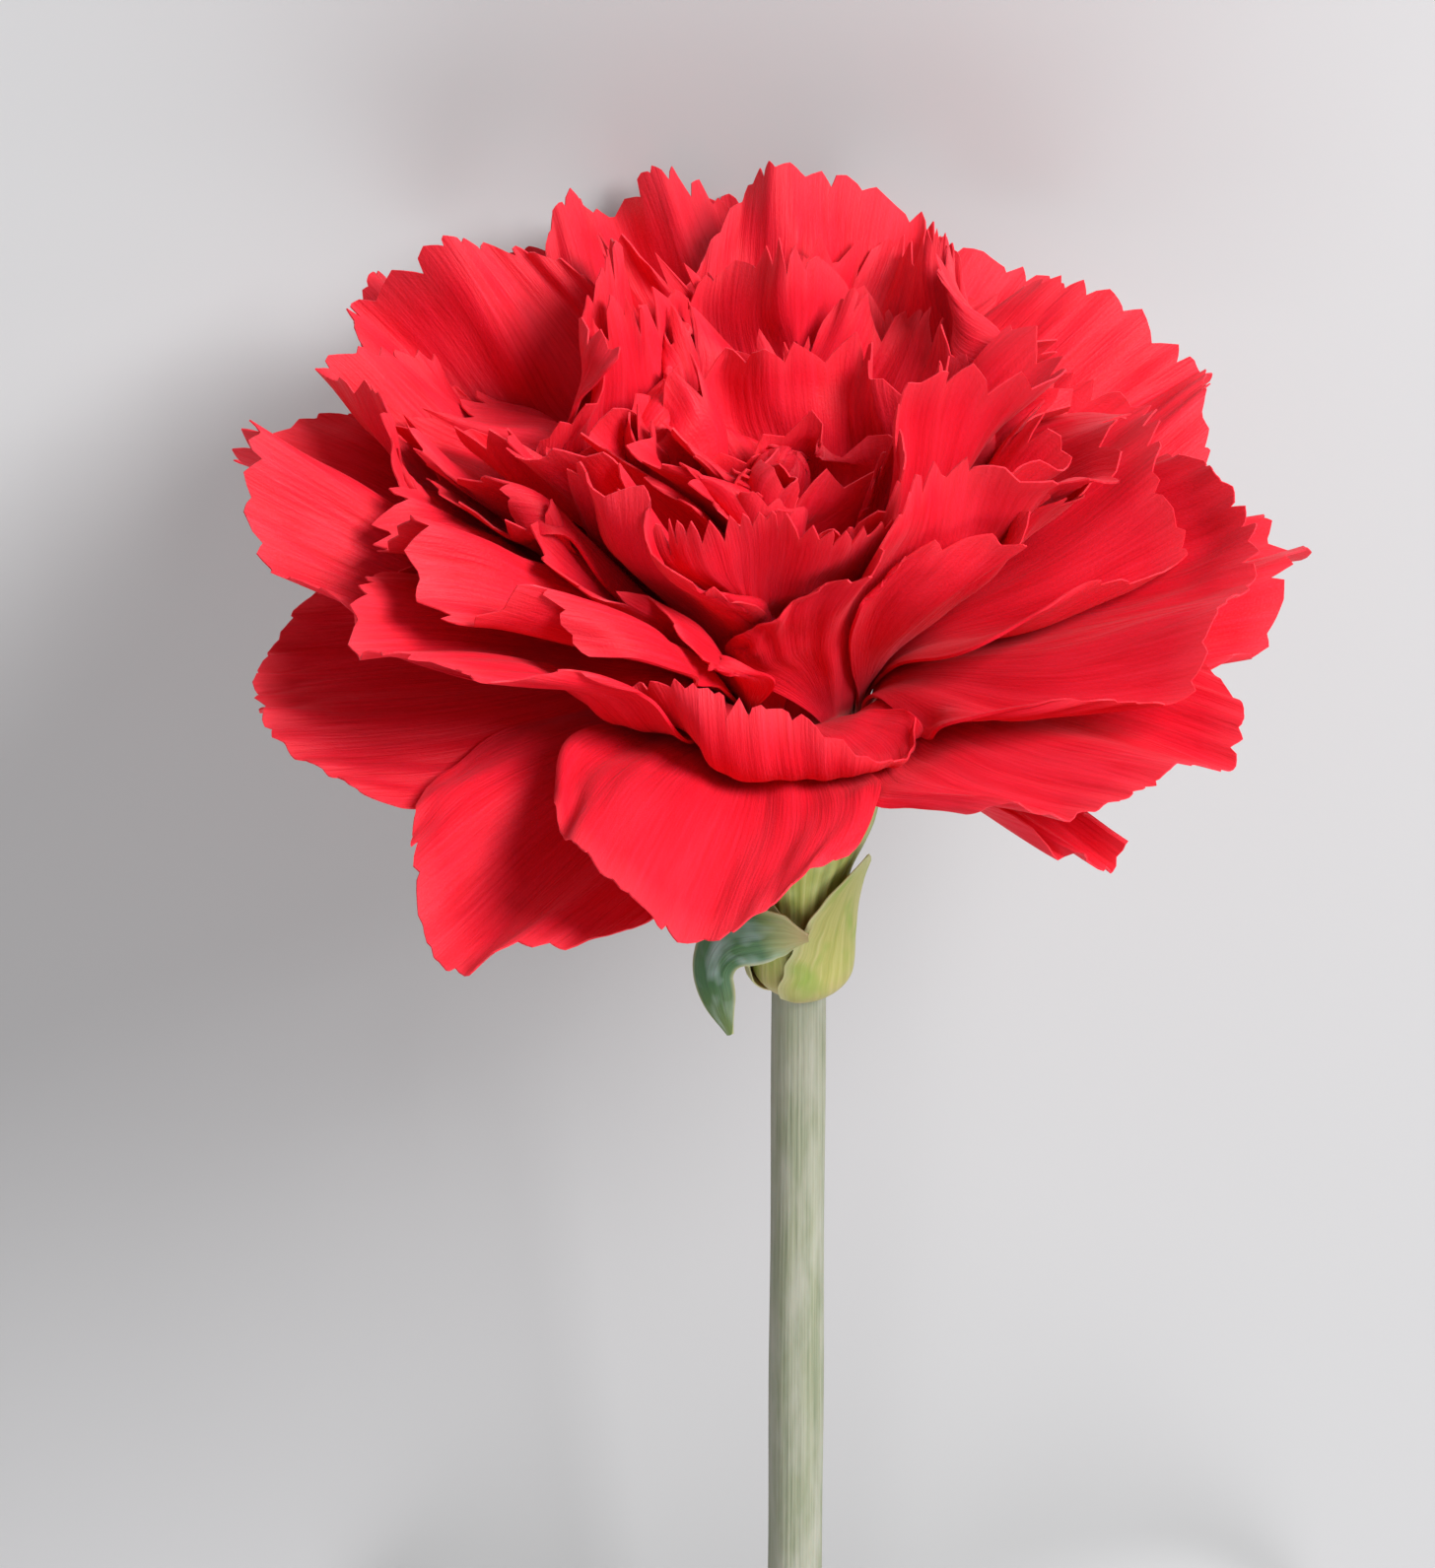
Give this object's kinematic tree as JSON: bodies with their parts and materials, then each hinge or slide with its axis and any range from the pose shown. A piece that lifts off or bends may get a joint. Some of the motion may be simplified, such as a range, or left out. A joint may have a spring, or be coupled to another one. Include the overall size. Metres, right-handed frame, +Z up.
{
  "type": "cut carnation",
  "caption": "Cut double carnation lying on its side: ruffled petals in a tubular calyx with bracts, a jointed stem with slender leaves and a cut end.",
  "frame": {"origin": "middle of the footprint, on the surface the flower lies on", "axes": "+Z up off the surface, +Y from the cut end of the stem towards the flower head, X across the stem"},
  "size_m": [0.083, 0.1918, 0.0708],
  "materials": {
    "petal": "velvety matt petal",
    "stem": "waxy grey-green stem",
    "calyx": "waxy yellow-green",
    "bract": "waxy green with a pale bloom",
    "leaf": "waxy blue-green",
    "pistil": "pale and soft"
  },
  "bodies": {
    "root": {"petal_01": "petal", "petal_02": "petal", "petal_03": "petal", "petal_04": "petal", "petal_05": "petal", "petal_06": "petal", "petal_07": "petal", "petal_08": "petal", "petal_09": "petal", "petal_10": "petal", "petal_11": "petal", "petal_12": "petal", "petal_13": "petal", "petal_14": "petal", "petal_15": "petal", "petal_16": "petal", "petal_17": "petal", "petal_18": "petal", "petal_19": "petal", "petal_20": "petal", "petal_21": "petal", "petal_22": "petal", "petal_23": "petal", "petal_24": "petal", "petal_25": "petal", "petal_26": "petal", "petal_27": "petal", "petal_28": "petal", "petal_29": "petal", "petal_30": "petal", "petal_31": "petal", "petal_32": "petal", "petal_33": "petal", "petal_34": "petal", "petal_35": "petal", "petal_36": "petal", "petal_37": "petal", "petal_38": "petal", "petal_39": "petal", "petal_40": "petal", "petal_41": "petal", "petal_42": "petal", "petal_43": "petal", "petal_44": "petal", "petal_45": "petal", "petal_46": "petal", "petal_47": "petal", "petal_48": "petal", "petal_49": "petal", "petal_50": "petal", "stem": "stem", "calyx": "calyx", "bract_inner_left": "bract", "bract_inner_right": "bract", "bract_outer_front": "bract", "bract_outer_back": "bract", "bract_curled": "bract", "pistil": "pistil", "leaf_left": "leaf", "leaf_right": "leaf"}
  },
  "joints": []
}
